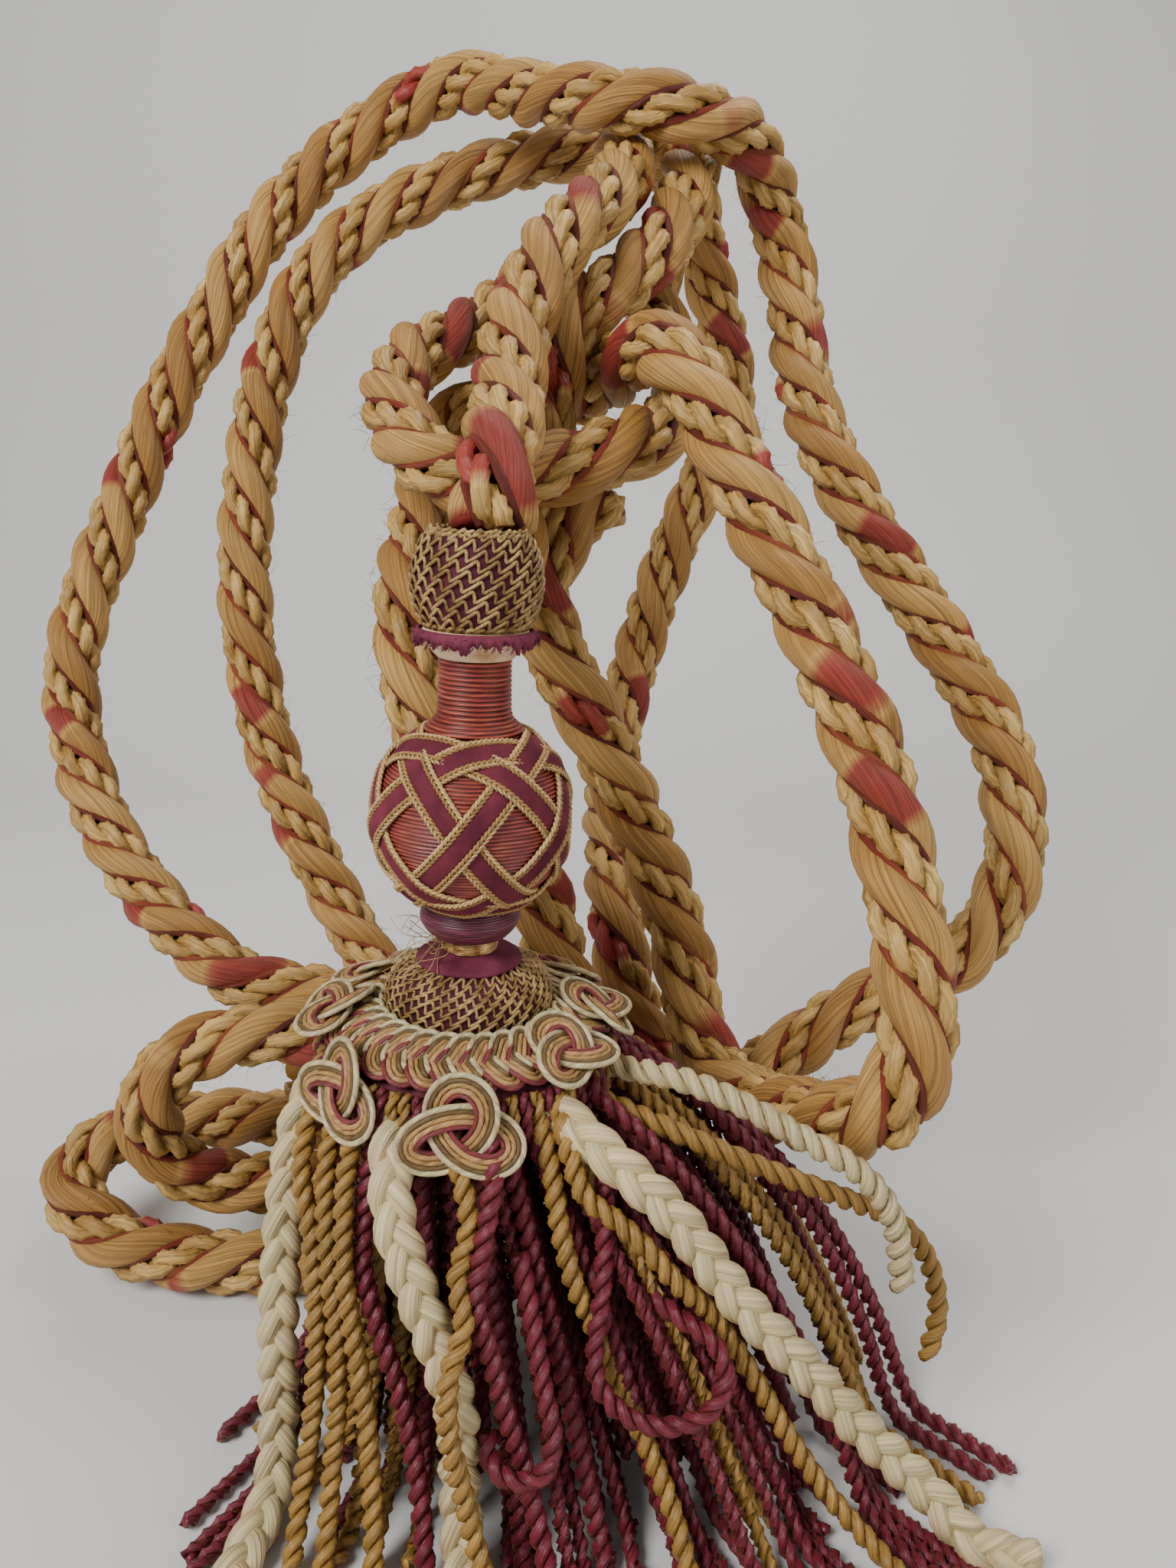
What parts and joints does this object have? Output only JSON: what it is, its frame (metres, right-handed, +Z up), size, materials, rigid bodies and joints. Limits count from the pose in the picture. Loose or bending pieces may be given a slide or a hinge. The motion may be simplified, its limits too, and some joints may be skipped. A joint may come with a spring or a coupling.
{
  "type": "key tassel tieback",
  "caption": "Large key tassel on a heavy twisted rope tieback: a netted bead, a ribbon-laced ball and a netted dome above a skirt of twisted and plaited cords.",
  "frame": {"origin": "top of the rope, at the point that the whole tieback hangs from", "axes": "+Z up, +X to the right and +Y away from the viewer when the tassel is seen from its front"},
  "size_m": [0.436, 0.4164, 0.5007],
  "materials": {
    "rope_gold": "satin viscose and cotton yarn, gold with crimson lengths",
    "purple_velvet": "worn silk velvet",
    "crimson_cord": "wound silk thread",
    "gold_net": "knotted silk net over velvet",
    "cream_wood": "bare, worn",
    "gold_foil": "aged gilt",
    "cream_gimp": "corded silk gimp",
    "skirt_yarn": "twisted silk cords in gold, crimson and cream"
  },
  "bodies": {
    "root": {"tassel_loop": "rope_gold", "long_rope": "rope_gold", "front_rope": "rope_gold", "knot_ring": "rope_gold", "net_bead": "gold_net", "bead_collar": "cream_wood", "velvet_rag": "purple_velvet", "wound_neck": "crimson_cord", "ball": "crimson_cord", "ribbon_lattice": "purple_velvet", "foot_collar": "purple_velvet", "gold_band": "gold_foil", "velvet_cone": "purple_velvet", "net_dome": "gold_net", "gimp_ruff": "cream_gimp", "skirt": "skirt_yarn", "gimp_knot_front": "cream_gimp", "gimp_knot_left": "cream_gimp", "gimp_knot_far_left": "cream_gimp", "gimp_knot_right": "cream_gimp", "gimp_knot_far_right": "cream_gimp", "gimp_knot_back_right": "cream_gimp", "gimp_knot_back": "cream_gimp", "gimp_knot_back_left": "cream_gimp"}
  },
  "joints": []
}
